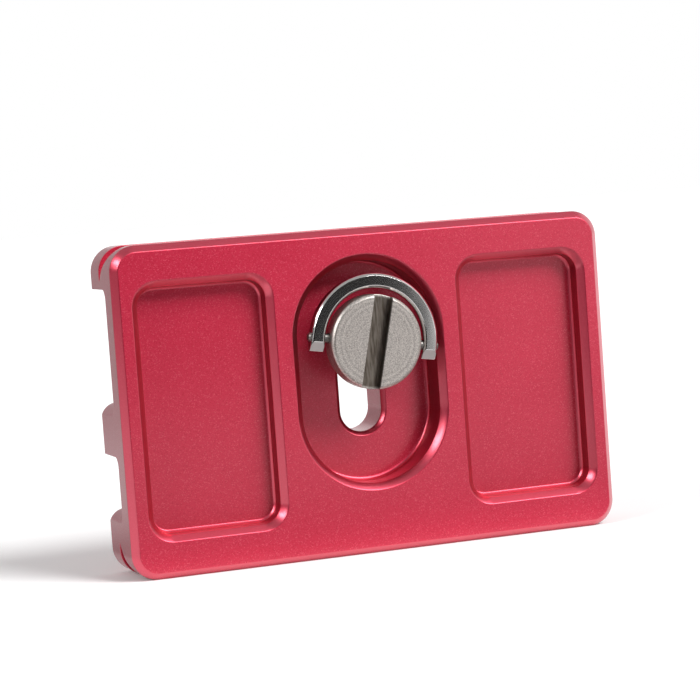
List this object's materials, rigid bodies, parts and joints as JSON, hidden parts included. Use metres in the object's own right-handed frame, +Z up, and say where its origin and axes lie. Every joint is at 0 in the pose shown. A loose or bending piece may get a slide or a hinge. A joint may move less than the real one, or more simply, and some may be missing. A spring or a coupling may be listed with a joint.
{
  "type": "camera cable clamp plate",
  "caption": "Milled camera plate that clamps cables in channels under the camera seat, with a captive screw, a folding finger ring and dovetail long edges for a tripod clamp.",
  "frame": {"origin": "middle of the footprint, at the lower long edge that the plate stands on", "axes": "+X along the plate, +Y towards the camera seat, +Z up across the plate's width"},
  "size_m": [0.06, 0.013, 0.038],
  "materials": {
    "red_anodised": "bead-blasted, red anodised",
    "screw_steel": "turned",
    "ring_steel": "polished",
    "pin_steel": "ground"
  },
  "bodies": {
    "plate": {"plate": "red_anodised"},
    "screw": {"camera_screw": "screw_steel", "pivot_pin_left": "pin_steel", "pivot_pin_right": "pin_steel"},
    "ring": {"d_ring": "ring_steel"}
  },
  "joints": [
    {"name": "screw_turn", "type": "hinge", "parent": "plate", "child": "screw", "pos_m": [0, -0.00485, 0.0248], "axis": [0, 1, 0], "continuous": true},
    {"name": "ring_flip", "type": "hinge", "parent": "screw", "child": "ring", "pos_m": [0, -0.00485, 0.0248], "axis": [0.9877, 0, -0.1564], "range_deg": [-35, 215]}
  ]
}
